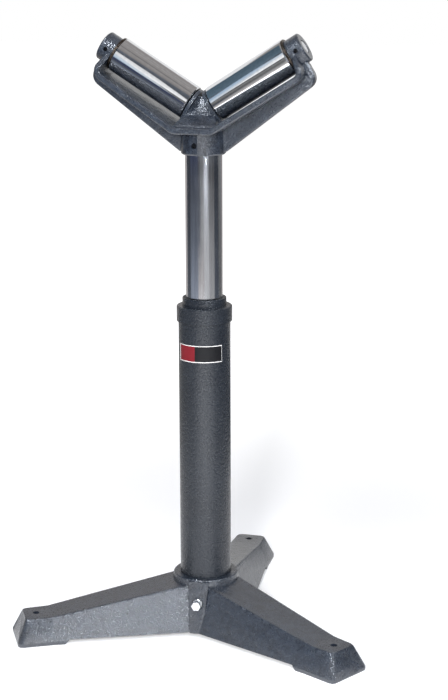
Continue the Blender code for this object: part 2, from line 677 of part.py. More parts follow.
def rib_mesh():
    right = rib_outline()
    left = [(-across, height) for across, height in reversed(right)]
    outline = left[-len(right):] + right
    edge = STRAP_EDGE
    bm = bmesh.new()
    front = [bm.verts.new((across, -RIB_HALF, height)) for across, height in outline]
    face = bm.faces.new(front)
    moved = bmesh.ops.extrude_face_region(bm, geom=[face])
    fresh = [item for item in moved["geom"] if isinstance(item, bmesh.types.BMVert)]
    bmesh.ops.translate(bm, verts=fresh, vec=(0, 2 * RIB_HALF, 0))
    long_edges = [item for item in bm.edges if abs(item.verts[0].co.y - item.verts[1].co.y) < 1e-6]
    bmesh.ops.bevel(bm, geom=long_edges, offset=edge, segments=1, affect="EDGES")
    return mesh_from("rib", bm)


def lug_outline(side, along):
    """Outline of one lug square to its roller axis, round above a narrower foot."""
    points = []
    for above, half in POST_OUTLINE:
        across, height = along_arm(side, along, above)
        points.append((across, -half, height))
    for step in range(ARC_STEPS * 2 + 1):
        angle = math.pi * step / (ARC_STEPS * 2)
        across, height = along_arm(side, along, POST_RADIUS * math.sin(angle))
        points.append((across, -POST_RADIUS * math.cos(angle), height))
    for above, half in reversed(POST_OUTLINE):
        across, height = along_arm(side, along, above)
        points.append((across, half, height))
    return points


def lug_mesh(name, side):
    return lofted(name, [lug_outline(side, POST_FACE - POST_LIP), lug_outline(side, POST_FACE)])


def web_mesh():
    """Web between the two lugs, flared to the front and back at its foot."""
    sections = []
    middle = POST_FACE - POST_LIP / 2
    for height, half in WEB_OUTLINE:
        above = (height - VEE_APEX - middle * math.sin(VEE_ANGLE)) / math.cos(VEE_ANGLE)
        across = along_arm(1, middle, above)[0]
        sections.append([(-across, -half, height), (across, -half, height),
                         (across, half, height), (-across, half, height)])
    return lofted("web", sections, 50.0)


def build_head(head, paint):
    casting = add_object("head_casting", strap_mesh(), head)
    join(casting, rib_mesh(), head)
    boss = [(0, BOSS_BOTTOM), (BOSS_RADIUS - BOSS_ROUND, BOSS_BOTTOM), (BOSS_RADIUS, BOSS_BOTTOM + BOSS_ROUND),
            (BOSS_RADIUS, STRAP_CENTRE - STRAP_THICKNESS / 2), (0, STRAP_CENTRE - STRAP_THICKNESS / 2)]
    join(casting, turned("head_boss", boss, FACETS_LARGE), head)
    join(casting, web_mesh(), head)
    for side, label in ((-1, "left_lug"), (1, "right_lug")):
        join(casting, lug_mesh(label, side), head)
    pad = EAR_FACE - EAR_PAD
    ear_profile = [(0, pad), (EAR_BOSS_RADIUS, pad), (EAR_BOSS_RADIUS, EAR_BOSS_END - EAR_BOSS_ROUND),
                   (EAR_BOSS_RADIUS - EAR_BOSS_ROUND * 0.4, EAR_BOSS_END - EAR_BOSS_ROUND * 0.4),
                   (EAR_BOSS_RADIUS - EAR_BOSS_ROUND, EAR_BOSS_END), (0, EAR_BOSS_END)]
    ear_boss = turned("ear_boss", ear_profile, FACETS_MEDIUM)
    axle_bore = rod("axle_bore", AXLE_BORE, POST_BORE_END, EAR_BOSS_END + CUT, FACETS_MEDIUM)
    screw_hole = rod("axle_screw_hole", AXLE_SCREW_RADIUS + THREAD_GAP, AXLE_RADIUS - CUT / 2,
                     EAR_BOSS_RADIUS + CUT, FACETS_HOLE, axis="Y")
    for side in (-1, 1):
        turn = (0, side * (math.pi / 2 - VEE_ANGLE), 0)
        join(casting, ear_boss, head, (0, 0, VEE_APEX), turn)
    for side in (-1, 1):
        turn = (0, side * (math.pi / 2 - VEE_ANGLE), 0)
        cut(casting, axle_bore, head, (0, 0, VEE_APEX), turn)
        across, height = along_arm(side, EAR_SCREW_ALONG, 0)
        cut(casting, screw_hole, head, (across, 0, height), (0, 0, math.pi))
    socket = rod("mast_socket", SOCKET_RADIUS, BOSS_BOTTOM - CUT, STRAP_CENTRE - SOCKET_ROOF, FACETS_LARGE)
    cut(casting, socket, head)
    set_hole = rod("set_screw_hole", HEAD_SCREW_RADIUS + THREAD_GAP, MAST_RADIUS - CUT / 2, BOSS_RADIUS + CUT,
                   FACETS_HOLE, axis="Y")
    set_turn = HEAD_SCREW_AZIMUTH - math.pi / 2
    set_height = BOSS_BOTTOM + HEAD_SCREW_HEIGHT
    cut(casting, set_hole, head, (0, 0, set_height), (0, 0, set_turn))
    finish(casting, paint)


def build_head_screws(head, steel):
    set_screw = rod("head_set_screw", HEAD_SCREW_RADIUS, MAST_RADIUS + TOUCH, BOSS_RADIUS - HEAD_SCREW_RECESS,
                    FACETS_SMALL, TOUCH, "Y")
    turn = HEAD_SCREW_AZIMUTH - math.pi / 2
    height = BOSS_BOTTOM + HEAD_SCREW_HEIGHT
    finish(add_object("head_set_screw", set_screw, head, (0, 0, height), (0, 0, turn)), steel)
    for side, label in ((-1, "left"), (1, "right")):
        name = label + "_axle_screw"
        mesh = rod(name, AXLE_SCREW_RADIUS, AXLE_RADIUS + TOUCH, EAR_BOSS_RADIUS - AXLE_SCREW_RECESS,
                   FACETS_SMALL, TOUCH, "Y")
        across, height = along_arm(side, EAR_SCREW_ALONG, 0)
        finish(add_object(name, mesh, head, (across, 0, height), (0, 0, math.pi)), steel)


def shell_mesh(name):
    """Roller tube with a bearing seat bored into each end."""
    seat = BEARING_RADIUS + TOUCH
    depth = CAP_RECESS + CAP_THICKNESS + BEARING_WIDTH + 2 * TOUCH
    first = ROLLER_START + depth
    last = ROLLER_END - depth
    profile = [(seat, ROLLER_START), (ROLLER_RADIUS - ROLLER_EDGE, ROLLER_START),
               (ROLLER_RADIUS, ROLLER_START + ROLLER_EDGE), (ROLLER_RADIUS, ROLLER_END - ROLLER_EDGE),
               (ROLLER_RADIUS - ROLLER_EDGE, ROLLER_END), (seat, ROLLER_END), (seat, last),
               (ROLLER_BORE, last), (ROLLER_BORE, first), (seat, first)]
    return turned(name, profile, FACETS_LARGE)


def race_mesh(name, inner, outer, start, groove_outside):
    """Bearing ring with a ball groove on one side."""
    end = start + BEARING_WIDTH
    middle = start + BEARING_WIDTH / 2
    reach = BALL_RADIUS + BALL_GAP
    wall = BALL_PITCH - reach if groove_outside else BALL_PITCH + reach
    lip = outer if groove_outside else inner
    drop = abs(lip - BALL_PITCH)
    half = math.sqrt(max(0.0, reach ** 2 - drop ** 2))
    if groove_outside:
        profile = [(inner, start), (outer, start), (outer, middle - half), (wall, middle), (outer, middle + half),
                   (outer, end), (inner, end)]
    else:
        profile = [(inner, start), (outer, start), (outer, end), (inner, end), (inner, middle + half),
                   (wall, middle), (inner, middle - half)]
    return turned(name, profile, FACETS_SMALL)


def cage_mesh(name, centre):
    """Cage ring threaded through its balls."""
    profile = [(BALL_PITCH - CAGE_HALF_THICK, centre - CAGE_HALF_WIDTH),
               (BALL_PITCH + CAGE_HALF_THICK, centre - CAGE_HALF_WIDTH),
               (BALL_PITCH + CAGE_HALF_THICK, centre + CAGE_HALF_WIDTH),
               (BALL_PITCH - CAGE_HALF_THICK, centre + CAGE_HALF_WIDTH)]
    return turned(name, profile, FACETS_HOLE)


def ball_mesh(name, centre):
    """All the balls of one bearing, as spheres on the pitch circle."""
    bm = bmesh.new()
    for index in range(BALL_COUNT):
        angle = 2 * math.pi * index / BALL_COUNT
        place = Matrix.Translation((BALL_PITCH * math.cos(angle), BALL_PITCH * math.sin(angle), centre))
        turn = Matrix.Rotation(angle, 4, "Z") @ Matrix.Rotation(math.pi / 2, 4, "Y")
        bmesh.ops.create_icosphere(bm, subdivisions=1, radius=BALL_RADIUS, matrix=place @ turn)
    return mesh_from(name, bm)


def cap_mesh(name, start, end):
    """Dust cap pressed into the end of the roller."""
    profile = [(CAP_BORE, start), (BEARING_RADIUS - CAP_EDGE, start), (BEARING_RADIUS, start + CAP_EDGE),
               (BEARING_RADIUS, end), (CAP_BORE, end)]
    return turned(name, profile, FACETS_SMALL)


def sleeve_mesh(name, low, high):
    """Plain spacer between the centre post and the inner race."""
    profile = [(AXLE_BORE, low), (AXLE_BORE + SPACER_WALL, low), (AXLE_BORE + SPACER_WALL, high), (AXLE_BORE, high)]
    return turned(name, profile, FACETS_SMALL)


def washer_mesh(name, low, high):
    """Flanged spacer whose wide washer stands against the ear."""
    sleeve = AXLE_BORE + SPACER_WALL
    profile = [(AXLE_BORE, low), (sleeve, low), (sleeve, high - WASHER_THICKNESS),
               (WASHER_RADIUS - WASHER_EDGE, high - WASHER_THICKNESS),
               (WASHER_RADIUS, high - WASHER_THICKNESS + WASHER_EDGE), (WASHER_RADIUS, high - WASHER_EDGE),
               (WASHER_RADIUS - WASHER_EDGE, high), (AXLE_BORE, high)]
    return turned(name, profile, FACETS_MEDIUM)


def build_roller(head, label, side, steels):
    """One roller with everything on its axle."""
    turn = (0, side * (math.pi / 2 - VEE_ANGLE), 0)
    axis = add_empty(label + "_roller_axis", head, (0, 0, VEE_APEX), turn)
    finish(add_object(label + "_roller", shell_mesh(label + "_roller"), axis), steels["chrome"])
    axle = rod(label + "_axle", AXLE_RADIUS, AXLE_START, AXLE_END, FACETS_MEDIUM, ROLLER_EDGE)
    finish(add_object(label + "_axle", axle, axis), steels["bright"])
    race_bore = AXLE_BORE
    inner_outer = race_bore + RACE_INNER_WALL
    outer_inner = BEARING_RADIUS - RACE_OUTER_WALL
    depth = CAP_RECESS + CAP_THICKNESS + TOUCH
    for place, outward in (("inner", -1), ("outer", 1)):
        start = ROLLER_START + depth if outward < 0 else ROLLER_END - depth - BEARING_WIDTH
        middle = start + BEARING_WIDTH / 2
        prefix = label + "_" + place
        name = prefix + "_race_on_axle"
        race = race_mesh(name, race_bore, inner_outer, start, True)
        finish(add_object(name, race, axis), steels["bright"])
        name = prefix + "_race_in_roller"
        race = race_mesh(name, outer_inner, BEARING_RADIUS, start, False)
        finish(add_object(name, race, axis), steels["bright"])
        name = prefix + "_ball_cage"
        cage = add_object(name, cage_mesh(name, middle), axis)
        join(cage, ball_mesh(prefix + "_balls", middle), axis)
        finish(cage, steels["bright"])
        name = prefix + "_end_cap"
        cap_start = ROLLER_START + CAP_RECESS if outward < 0 else ROLLER_END - CAP_RECESS - CAP_THICKNESS
        cap = cap_mesh(name, cap_start, cap_start + CAP_THICKNESS)
        finish(add_object(name, cap, axis), steels["cap"])
    first_race = ROLLER_START + depth - TOUCH
    last_race = ROLLER_END - depth + TOUCH
    name = label + "_inner_spacer"
    sleeve = sleeve_mesh(name, POST_FACE + TOUCH, first_race)
    finish(add_object(name, sleeve, axis), steels["bright"])
    name = label + "_outer_spacer"
    washer = washer_mesh(name, last_race, EAR_FACE - EAR_PAD - TOUCH)
    finish(add_object(name, washer, axis), steels["cap"])


def main():
    clear_scene()
    cast = make_material("cast_paint", (0.040, 0.047, 0.058), 0.38, 0.0)
    tube = make_material("tube_paint", (0.040, 0.045, 0.053), 0.36, 0.0)
    ground = make_material("ground_steel", (0.62, 0.63, 0.65), 0.22, 1.0)
    chrome = make_material("roller_chrome", (0.78, 0.79, 0.80), 0.08, 1.0)
    zinc = make_material("zinc", (0.80, 0.81, 0.82), 0.30, 1.0)
    brass = make_material("brass", (0.75, 0.56, 0.25), 0.30, 1.0)
    cap = make_material("cap_steel", (0.16, 0.13, 0.11), 0.45, 1.0)
    plastic = make_material("black_plastic", (0.015, 0.015, 0.016), 0.35, 0.0)
    steels = {"chrome": chrome, "bright": ground, "cap": cap}
    column = add_empty("column_axis", None, (0, column_setback(), 0))
    build_tripod(column, cast)
    build_base_bolt(column, zinc)
    build_outer_tube(column, tube)
    build_collar(column, tube)
    build_clamp(column, brass, ground, plastic)
    build_mast(column, ground, plastic)
    head = add_empty("head_axis", column)
    build_head(head, cast)
    build_head_screws(head, zinc)
    for label, side in (("left", -1), ("right", 1)):
        build_roller(head, label, side, steels)


main()
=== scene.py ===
"""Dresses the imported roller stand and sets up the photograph's view of it."""
import json
import math

import bmesh
import bpy
from mathutils import Matrix, Vector

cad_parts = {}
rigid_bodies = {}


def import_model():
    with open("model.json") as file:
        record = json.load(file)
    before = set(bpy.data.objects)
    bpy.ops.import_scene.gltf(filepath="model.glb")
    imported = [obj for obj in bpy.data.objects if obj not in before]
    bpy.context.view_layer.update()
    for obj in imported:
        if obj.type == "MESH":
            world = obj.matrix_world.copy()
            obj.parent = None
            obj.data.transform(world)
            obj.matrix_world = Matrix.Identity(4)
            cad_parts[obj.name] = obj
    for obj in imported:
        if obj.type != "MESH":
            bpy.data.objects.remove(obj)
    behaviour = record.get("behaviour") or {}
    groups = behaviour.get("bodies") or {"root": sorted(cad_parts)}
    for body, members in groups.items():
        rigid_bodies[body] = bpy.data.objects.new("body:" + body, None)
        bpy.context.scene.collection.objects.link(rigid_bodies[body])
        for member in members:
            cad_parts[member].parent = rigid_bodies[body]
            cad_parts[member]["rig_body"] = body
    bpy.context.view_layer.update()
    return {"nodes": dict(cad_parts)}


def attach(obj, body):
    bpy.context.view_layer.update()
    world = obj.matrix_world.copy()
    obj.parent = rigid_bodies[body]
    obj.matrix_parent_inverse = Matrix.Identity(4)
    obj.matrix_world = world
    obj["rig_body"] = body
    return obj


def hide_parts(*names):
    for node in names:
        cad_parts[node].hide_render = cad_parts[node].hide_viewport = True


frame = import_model()
NODES = frame["nodes"]

# Camera fitted to the photograph, relative to the column axis on the floor
COLUMN = Vector((0.0, -0.058509, 0.0))
CAMERA_PLACE = Vector((0.63418, -2.18003, 0.9624))
CAMERA_FORWARD = Vector((-0.26003, 0.93765, -0.23065))
CAMERA_UP = Vector((-0.05914, 0.22295, 0.97303))
CAMERA_LENS = 81.31     # mm, for a sensor 36 mm on the picture's long side
SENSOR = 36.0

# Label on the outer tube, in metres and as angles round the column
TUBE_RADIUS = 0.0384
LABEL_START = math.radians(219.0)
LABEL_END = math.radians(326.6)
LABEL_LOW = 0.4138
LABEL_HIGH = 0.4388
LABEL_LIFT = 0.00025    # how far the label stands off the paint
LABEL_STEPS = 48
LABEL_PALE = (0.62, 0.60, 0.58)
LABEL_RED = (0.14, 0.009, 0.014)
LABEL_BLACK = (0.006, 0.006, 0.007)

# Smooth copies of the faceted pieces, in metres
WELD = 0.00002
FLAT_ANGLE = math.radians(0.4)      # faces closer than this become one
EDGE_ANGLE = math.radians(26.0)     # edges sharper than this stay edges
CAST_EDGE = 0.0012      # rounding of the castings' and the collar's edges
WORKED_EDGE = 0.0003    # rounding of the machined pieces' edges

FLOOR_SIZE = 40.0
FLOOR_DROP = 0.0002     # keeps the floor just under the feet
FLOOR_PAINT = 0.80
GLOW_NEAR = 0.255       # the floor's own glow under the stand
GLOW_FAR = 1.0          # and away from it
GLOW_START = 0.4        # distances between which it rises
GLOW_END = 1.8

CARD_RADIUS = 0.85      # studio cards round the column
CARD_STEP = 6           # degrees for each flat face of a card
CARD_WIDTH = 2.2        # overhead cards
KEY_AZIMUTH = math.radians(289)
KEY_RADIUS = 1.35
KEY_HEIGHT = 0.90
GLEAM_AIM = 0.5         # height on the column that the gleams point at
GLEAM_TINT = (0.90, 0.97, 1.08)

BLACK = (0.0, 0.0, 0.0)
WHITE = (1.0, 1.0, 1.0)
COOL = (0.85, 0.95, 1.15)
TEAL = (0.66, 1.00, 1.30)
WARM = (1.06, 1.00, 0.97)
NAVY = (0.70, 0.85, 1.50)

# Sockets of the colour mix node, which has several of the same name
MIX_BELOW = 6
MIX_ABOVE = 7
MIX_RESULT = 2


def blank_material(name):
    material = bpy.data.materials.new(name)
    material.use_nodes = True
    material.node_tree.nodes.clear()
    return material


class Graph:
    """Small helper that adds nodes to a material and links them."""

    def __init__(self, name):
        self.material = blank_material(name)
        self.tree = self.material.node_tree
        output = self.add("ShaderNodeOutputMaterial")
        self.shader = self.add("ShaderNodeBsdfPrincipled")
        self.link(self.shader, "BSDF", output, "Surface")
        self.where = self.add("ShaderNodeTexCoord")

    def add(self, kind):
        return self.tree.nodes.new(kind)

    def link(self, source, out, target, into):
        self.tree.links.new(source.outputs[out], target.inputs[into])

    def set(self, **values):
        """Set sockets of the shader."""
        for name, value in values.items():
            self.shader.inputs[name].default_value = value

    def noise(self, scale, detail, roughness, stretch=None):
        node = self.add("ShaderNodeTexNoise")
        node.inputs["Scale"].default_value = scale
        node.inputs["Detail"].default_value = detail
        node.inputs["Roughness"].default_value = roughness
        if stretch:
            mapping = self.add("ShaderNodeMapping")
            mapping.inputs["Scale"].default_value = stretch
            self.link(self.where, "Object", mapping, "Vector")
            self.link(mapping, "Vector", node, "Vector")
        else:
            self.link(self.where, "Object", node, "Vector")
        return node

    def ramp(self, source, out, stops):
        """Colour ramp over a node's value, from pairs of place and colour."""
        node = self.add("ShaderNodeValToRGB")
        elements = node.color_ramp.elements
        while len(elements) < len(stops):
            elements.new(1.0)
        for element, (place, colour) in zip(elements, stops):
            element.position = place
            element.color = (*colour, 1.0)
        self.link(source, out, node, "Fac")
        return node

    def bands(self, source, out, stops):
        """Colour ramp with hard borders."""
        node = self.ramp(source, out, stops)
        node.color_ramp.interpolation = "CONSTANT"
        return node

    def grey(self, source, out, low, high, start=0.3, end=0.7):
        """Map a value from start to end onto low to high."""
        node = self.add("ShaderNodeMapRange")
        node.inputs["From Min"].default_value = start
        node.inputs["From Max"].default_value = end
        node.inputs["To Min"].default_value = low
        node.inputs["To Max"].default_value = high
        self.link(source, out, node, "Value")
        return node

    def blend(self, share, out, below, above):
        """Lay a plain colour over a node's colour, as far as the share says."""
        node = self.add("ShaderNodeMix")
        node.data_type = "RGBA"
        self.link(share, out, node, "Factor")
        self.link(below, "Color", node, MIX_BELOW)
        node.inputs[MIX_ABOVE].default_value = (*above, 1.0)
        return node

    def bump(self, source, distance, after=None):
        node = self.add("ShaderNodeBump")
        node.inputs["Distance"].default_value = distance
        node.inputs["Strength"].default_value = 1.0
        self.link(source, "Fac", node, "Height")
        if after:
            self.link(after, "Normal", node, "Normal")
        return node

    def dress(self, colour, out, rough, relief):
        """Link colour, roughness and relief, and return the material."""
        self.link(colour, out, self.shader, "Base Color")
        self.link(rough, "Result", self.shader, "Roughness")
        self.link(relief, "Normal", self.shader, "Normal")
        return self.material


def cast_paint():
    """Blue-grey enamel over rough cast iron. Its grain is bumped, and lighter specks painted into its
    colour stand for glints on it: painted highlights.
    """
    graph = Graph("cast_paint")
    grain = graph.noise(scale=420.0, detail=4.0, roughness=0.6)
    lumps = graph.noise(scale=95.0, detail=2.5, roughness=0.5)
    colour = graph.ramp(lumps, "Fac", [(0.30, (0.008, 0.011, 0.017)), (0.72, (0.017, 0.023, 0.034))])
    # Painted highlights: pale specks from the grain, laid over the colour where the bumps would glint.
    glint_specks = graph.ramp(grain, "Fac", [(0.56, BLACK), (0.68, WHITE)])
    share = graph.grey(glint_specks, "Color", low=0.0, high=0.12, start=0.0, end=1.0)
    glint_speckled = graph.blend(share, "Result", colour, above=(0.26, 0.30, 0.35))
    rough = graph.grey(grain, "Fac", low=0.24, high=0.36)
    graph.set(IOR=1.95)
    coarse = graph.bump(lumps, distance=0.0010)
    fine = graph.bump(grain, distance=0.00042, after=coarse)
    return graph.dress(glint_speckled, MIX_RESULT, rough, fine)


def tube_paint():
    """Satin hammered paint."""
    graph = Graph("tube_paint")
    peel = graph.noise(scale=300.0, detail=2.5, roughness=0.5)
    drift = graph.noise(scale=14.0, detail=2.0, roughness=0.5)
    colour = graph.ramp(drift, "Fac", [(0.30, (0.009, 0.011, 0.015)), (0.70, (0.013, 0.016, 0.021))])
    rough = graph.grey(peel, "Fac", low=0.22, high=0.36)
    graph.set(IOR=1.52)
    relief = graph.bump(peel, distance=0.00080)
    return graph.dress(colour, "Color", rough, relief)


def worked_steel(name, low, high, rough, stretch, depth):
    """Bare or plated steel: streaks in its colour, soft clouds in its polish."""
    graph = Graph(name)
    streaks = graph.noise(scale=1.0, detail=4.0, roughness=0.6, stretch=stretch)
    clouds = graph.noise(scale=35.0, detail=3.0, roughness=0.5)
    colour = graph.ramp(streaks, "Fac", [(0.30, low), (0.70, high)])
    graph.set(Metallic=1.0)
    polish = graph.grey(clouds, "Fac", *rough)
    relief = graph.bump(streaks, depth)
    return graph.dress(colour, "Color", polish, relief)


def plain(name, low, high, rough, metallic, scale, depth):
    """Small pieces: a mottled colour with a little grain."""
    graph = Graph(name)
    grain = graph.noise(scale, detail=3.0, roughness=0.5)
    colour = graph.ramp(grain, "Fac", [(0.32, low), (0.68, high)])
    graph.set(Metallic=metallic)
    polish = graph.grey(grain, "Fac", *rough)
    relief = graph.bump(grain, depth)
    return graph.dress(colour, "Color", polish, relief)


def make_looks():
    """One material for each kind of surface on the stand."""
    return {
        "cast": cast_paint(),
        "tube": tube_paint(),
        "mast": worked_steel("mast_steel", (0.50, 0.51, 0.54), (0.64, 0.65, 0.68), rough=(0.14, 0.22),
                             stretch=(260.0, 260.0, 9.0), depth=0.00006),
        "roller": worked_steel("roller_steel", (0.66, 0.67, 0.69), (0.76, 0.77, 0.79), rough=(0.06, 0.11),
                               stretch=(260.0, 260.0, 260.0), depth=0.000003),
        "steel": plain("ground_steel", (0.52, 0.53, 0.55), (0.64, 0.65, 0.67), rough=(0.22, 0.34),
                       metallic=1.0, scale=300.0, depth=0.00004),
        "zinc": plain("zinc", (0.82, 0.83, 0.84), (0.92, 0.93, 0.94), rough=(0.22, 0.34),
                      metallic=1.0, scale=240.0, depth=0.00003),
        "brown": plain("oiled_steel", (0.045, 0.036, 0.030), (0.12, 0.095, 0.075), rough=(0.34, 0.52),
                       metallic=1.0, scale=200.0, depth=0.00006),
        "black": plain("black_steel", (0.018, 0.018, 0.020), (0.040, 0.040, 0.043), rough=(0.35, 0.5),
                       metallic=1.0, scale=240.0, depth=0.00004),
        "brass": plain("brass", (0.68, 0.48, 0.20), (0.80, 0.60, 0.28), rough=(0.25, 0.38),
                       metallic=1.0, scale=260.0, depth=0.00004),
        "plastic": plain("black_plastic", (0.012, 0.012, 0.013), (0.020, 0.020, 0.022), rough=(0.28, 0.40),
                         metallic=0.0, scale=400.0, depth=0.00005),
    }


def look_of(name):
    """Which look a node wears. What isn't named here is ground steel."""
    chosen = {"tripod_base": "cast", "head_casting": "cast", "outer_tube": "tube", "tube_collar": "tube",
              "mast_tube": "mast", "mast_guide": "plastic", "clamp_knob": "plastic", "clamp_pad": "brass",
              "base_lock_bolt": "zinc", "base_lock_nut": "zinc", "head_set_screw": "black"}
    if name.endswith("_roller"):
        return "roller"
    if name.endswith("axle_screw"):
        return "black"
    if name.endswith(("outer_spacer", "end_cap")):
        return "brown"
    return chosen.get(name, "steel")


def dress_nodes():
    looks = make_looks()
    for name, node in NODES.items():
        node.data.materials.clear()
        node.data.materials.append(looks[look_of(name)])


def round_column(radius, angle, height):
    """Point at a distance and an angle round the column's axis."""
    return (COLUMN.x + radius * math.cos(angle), COLUMN.y + radius * math.sin(angle), height)


def object_from(bm, name):
    """Turn a bmesh into an object in the scene."""
    mesh = bpy.data.meshes.new(name)
    bm.to_mesh(mesh)
    bm.free()
    piece = bpy.data.objects.new(name, mesh)
    bpy.context.scene.collection.objects.link(piece)
    return piece


def round_edges(piece, width):
    rounding = piece.modifiers.new("rounded edges", "BEVEL")
    rounding.width = width
    rounding.segments = 2
    rounding.limit_method = "ANGLE"
    rounding.angle_limit = EDGE_ANGLE
    rounding.harden_normals = True


def refine(name, edge):
    """Stand a smooth-shaded copy with rounded edges in for a faceted CAD node."""
    node = NODES[name]
    bm = bmesh.new()
    bm.from_mesh(node.data)
    bmesh.ops.remove_doubles(bm, verts=bm.verts, dist=WELD)
    bmesh.ops.dissolve_limit(bm, angle_limit=FLAT_ANGLE, verts=bm.verts, edges=bm.edges)
    piece = object_from(bm, name + "_finish")
    for material in node.data.materials:
        piece.data.materials.append(material)
    piece.data.shade_smooth()
    piece.data.set_sharp_from_angle(angle=EDGE_ANGLE)
    round_edges(piece, edge)
    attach(piece, node["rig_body"])
    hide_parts(name)


def refine_nodes():
    for name in ("tripod_base", "head_casting", "tube_collar"):
        refine(name, CAST_EDGE)
    for name in ("outer_tube", "mast_tube", "base_lock_bolt", "base_lock_nut", "head_set_screw",
                 "clamp_screw", "clamp_lever", "clamp_knob"):
        refine(name, WORKED_EDGE)
    for side in ("left", "right"):
        for piece in ("roller", "axle", "axle_screw", "inner_spacer", "outer_spacer",
                      "inner_end_cap", "outer_end_cap"):
            refine(side + "_" + piece, WORKED_EDGE)


def label_material():
    """Plain vinyl with a pale edge, a red end and a black field."""
    graph = Graph("label_vinyl")
    uv = graph.add("ShaderNodeSeparateXYZ")
    graph.link(graph.where, "UV", uv, "Vector")
    fields = [(0.0, LABEL_PALE), (0.02, LABEL_RED), (0.415, LABEL_BLACK), (0.99, LABEL_PALE)]
    along = graph.bands(uv, "X", fields)
    rim = graph.bands(uv, "Y", [(0.0, WHITE), (0.045, BLACK), (0.955, WHITE)])
    print_colour = graph.blend(rim, "Color", along, above=LABEL_PALE)
    grain = graph.noise(scale=500.0, detail=2.0, roughness=0.5)
    rough = graph.grey(grain, "Fac", low=0.34, high=0.46)
    graph.set(IOR=1.3)
    relief = graph.bump(grain, distance=0.00005)
    return graph.dress(print_colour, MIX_RESULT, rough, relief)


def make_label():
    """Thin label round the front of the outer tube."""
    bm = bmesh.new()
    layer = bm.loops.layers.uv.new("UVMap")
    radius = TUBE_RADIUS + LABEL_LIFT
    rows = []
    for step in range(LABEL_STEPS + 1):
        along = step / LABEL_STEPS
        angle = LABEL_START + (LABEL_END - LABEL_START) * along
        low = bm.verts.new(round_column(radius, angle, LABEL_LOW))
        high = bm.verts.new(round_column(radius, angle, LABEL_HIGH))
        rows.append((along, low, high))
    for near, far in zip(rows, rows[1:]):
        face = bm.faces.new((near[1], far[1], far[2], near[2]))
        for loop, uv in zip(face.loops, ((near[0], 0), (far[0], 0), (far[0], 1), (near[0], 1))):
            loop[layer].uv = uv
    label = object_from(bm, "tube_label")
    label.data.shade_smooth()
    label.data.materials.append(label_material())
    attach(label, "stand")


def ray_is(tree, *kinds):
    """Socket that is 1 for rays of any of these kinds and 0 for others."""
    path = tree.nodes.new("ShaderNodeLightPath")
    found = path.outputs[kinds[0]]
    for kind in kinds[1:]:
        either = tree.nodes.new("ShaderNodeMath")
        either.operation = "MAXIMUM"
        tree.links.new(found, either.inputs[0])
        tree.links.new(path.outputs[kind], either.inputs[1])
        found = either.outputs[0]
    return found


def mix_shaders(tree, share, first, second):
    mix = tree.nodes.new("ShaderNodeMixShader")
    for socket, source in zip(mix.inputs, (share, first, second)):
        tree.links.new(source, socket)
    return mix.outputs[0]


def floor_glow(tree):
    """Emission that is weaker near the stand, so its shadow shows there."""
    glow = tree.nodes.new("ShaderNodeEmission")
    where = tree.nodes.new("ShaderNodeTexCoord")
    reach = tree.nodes.new("ShaderNodeVectorMath")
    reach.operation = "LENGTH"
    spread = tree.nodes.new("ShaderNodeMapRange")
    spread.interpolation_type = "SMOOTHSTEP"
    spread.inputs["From Min"].default_value = GLOW_START
    spread.inputs["From Max"].default_value = GLOW_END
    spread.inputs["To Min"].default_value = GLOW_NEAR
    spread.inputs["To Max"].default_value = GLOW_FAR
    tree.links.new(where.outputs["Object"], reach.inputs[0])
    tree.links.new(reach.outputs["Value"], spread.inputs["Value"])
    tree.links.new(spread.outputs["Result"], glow.inputs["Strength"])
    return glow.outputs[0]


def make_floor():
    """Pale floor. Only the camera and reflections see its glow."""
    material = blank_material("floor")
    tree = material.node_tree
    output = tree.nodes.new("ShaderNodeOutputMaterial")
    diffuse = tree.nodes.new("ShaderNodeBsdfDiffuse")
    diffuse.inputs["Color"].default_value = (FLOOR_PAINT, FLOOR_PAINT, FLOOR_PAINT, 1.0)
    both = tree.nodes.new("ShaderNodeAddShader")
    tree.links.new(diffuse.outputs[0], both.inputs[0])
    tree.links.new(floor_glow(tree), both.inputs[1])
    seen = ray_is(tree, "Is Camera Ray", "Is Glossy Ray")
    surface = mix_shaders(tree, seen, diffuse.outputs[0], both.outputs[0])
    tree.links.new(surface, output.inputs["Surface"])
    bpy.ops.mesh.primitive_plane_add(size=FLOOR_SIZE, location=(0, 0, -FLOOR_DROP))
    floor = bpy.context.object
    floor.name = "floor"
    floor.data.materials.append(material)


def background(tree, colour, strength):
    node = tree.nodes.new("ShaderNodeBackground")
    node.inputs["Color"].default_value = (*colour, 1.0)
    node.inputs["Strength"].default_value = strength
    return node.outputs[0]


def make_world():
    """White to the camera and in reflections, dim as a light on the stand."""
    world = bpy.data.worlds.new("studio")
    bpy.context.scene.world = world
    world.use_nodes = True
    tree = world.node_tree
    tree.nodes.clear()
    output = tree.nodes.new("ShaderNodeOutputWorld")
    dim = background(tree, colour=(0.95, 0.97, 1.0), strength=0.16)
    white = background(tree, colour=WHITE, strength=1.0)
    seen = ray_is(tree, "Is Camera Ray", "Is Glossy Ray", "Is Transmission Ray")
    tree.links.new(mix_shaders(tree, seen, dim, white), output.inputs["Surface"])


def card_material(name, glow, heights, tint):
    """Emission that fades from the lower to the upper edge."""
    material = blank_material(name)
    tree = material.node_tree
    output = tree.nodes.new("ShaderNodeOutputMaterial")
    light = tree.nodes.new("ShaderNodeEmission")
    light.inputs["Color"].default_value = (*tint, 1.0)
    where = tree.nodes.new("ShaderNodeTexCoord")
    split = tree.nodes.new("ShaderNodeSeparateXYZ")
    fade = tree.nodes.new("ShaderNodeMapRange")
    for label, value in zip(("From Min", "From Max", "To Min", "To Max"), heights + glow):
        fade.inputs[label].default_value = value
    tree.links.new(where.outputs["Object"], split.inputs[0])
    tree.links.new(split.outputs["Z"], fade.inputs["Value"])
    tree.links.new(fade.outputs["Result"], light.inputs["Strength"])
    tree.links.new(light.outputs[0], output.inputs["Surface"])
    return material


def hide_card(card):
    """Leave the card to reflections alone."""
    card.visible_camera = False
    card.visible_shadow = False
    card.visible_diffuse = False


